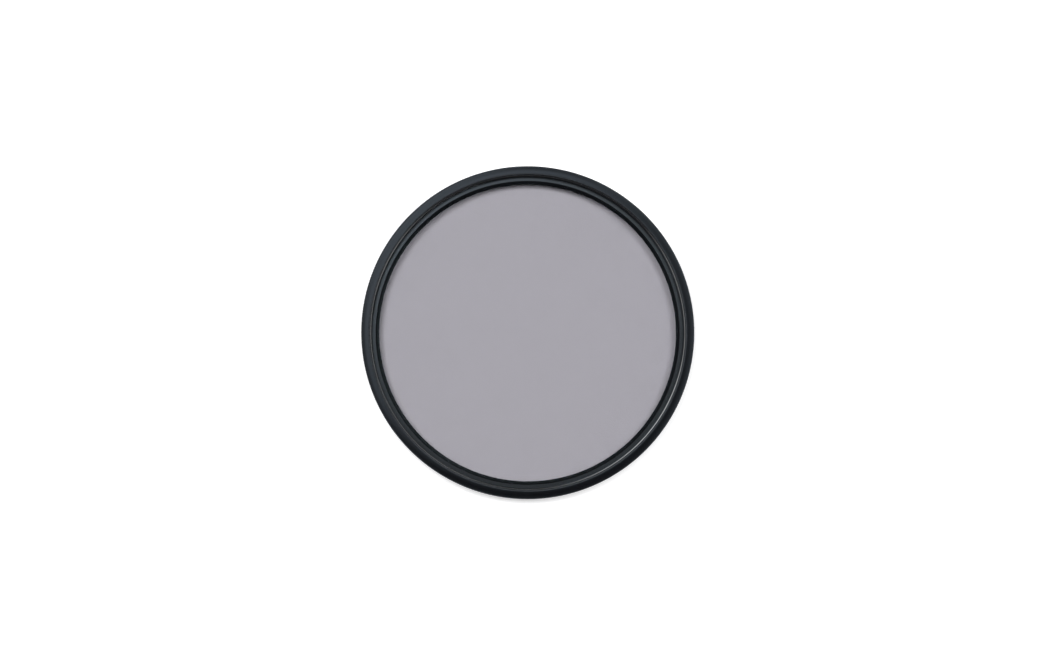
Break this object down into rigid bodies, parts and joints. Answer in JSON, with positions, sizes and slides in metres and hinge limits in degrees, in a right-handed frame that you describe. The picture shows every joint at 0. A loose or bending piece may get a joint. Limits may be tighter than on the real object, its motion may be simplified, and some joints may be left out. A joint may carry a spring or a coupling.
{
  "type": "circular polarizing filter",
  "caption": "Round screw-in camera filter: grey polarizing glass in a fluted front ring that turns on a threaded rear mount ring.",
  "frame": {"origin": "on the optical axis, at the rear end of the male thread, which is the face the filter stands on", "axes": "+Z along the optical axis, from the lens side to the front"},
  "size_m": [0.0816, 0.0816, 0.0097],
  "materials": {
    "front_anodised": "satin",
    "mount_anodised": "satin",
    "keeper_anodised": "matte",
    "spring_wire": "satin",
    "coated_glass": "gloss",
    "grey_foil": "gloss",
    "clear_foil": "gloss"
  },
  "bodies": {
    "mount": {"mount_ring": "mount_anodised", "snap_ring": "spring_wire"},
    "rotor": {"front_ring": "front_anodised", "front_glass": "coated_glass", "polarizing_foil": "grey_foil", "quarter_wave_foil": "clear_foil", "rear_glass": "coated_glass", "retaining_ring": "keeper_anodised"}
  },
  "joints": [
    {"name": "front_ring_turn", "type": "hinge", "parent": "mount", "child": "rotor", "pos_m": [0, 0, 0.0049], "axis": [0, 0, 1], "continuous": true}
  ]
}
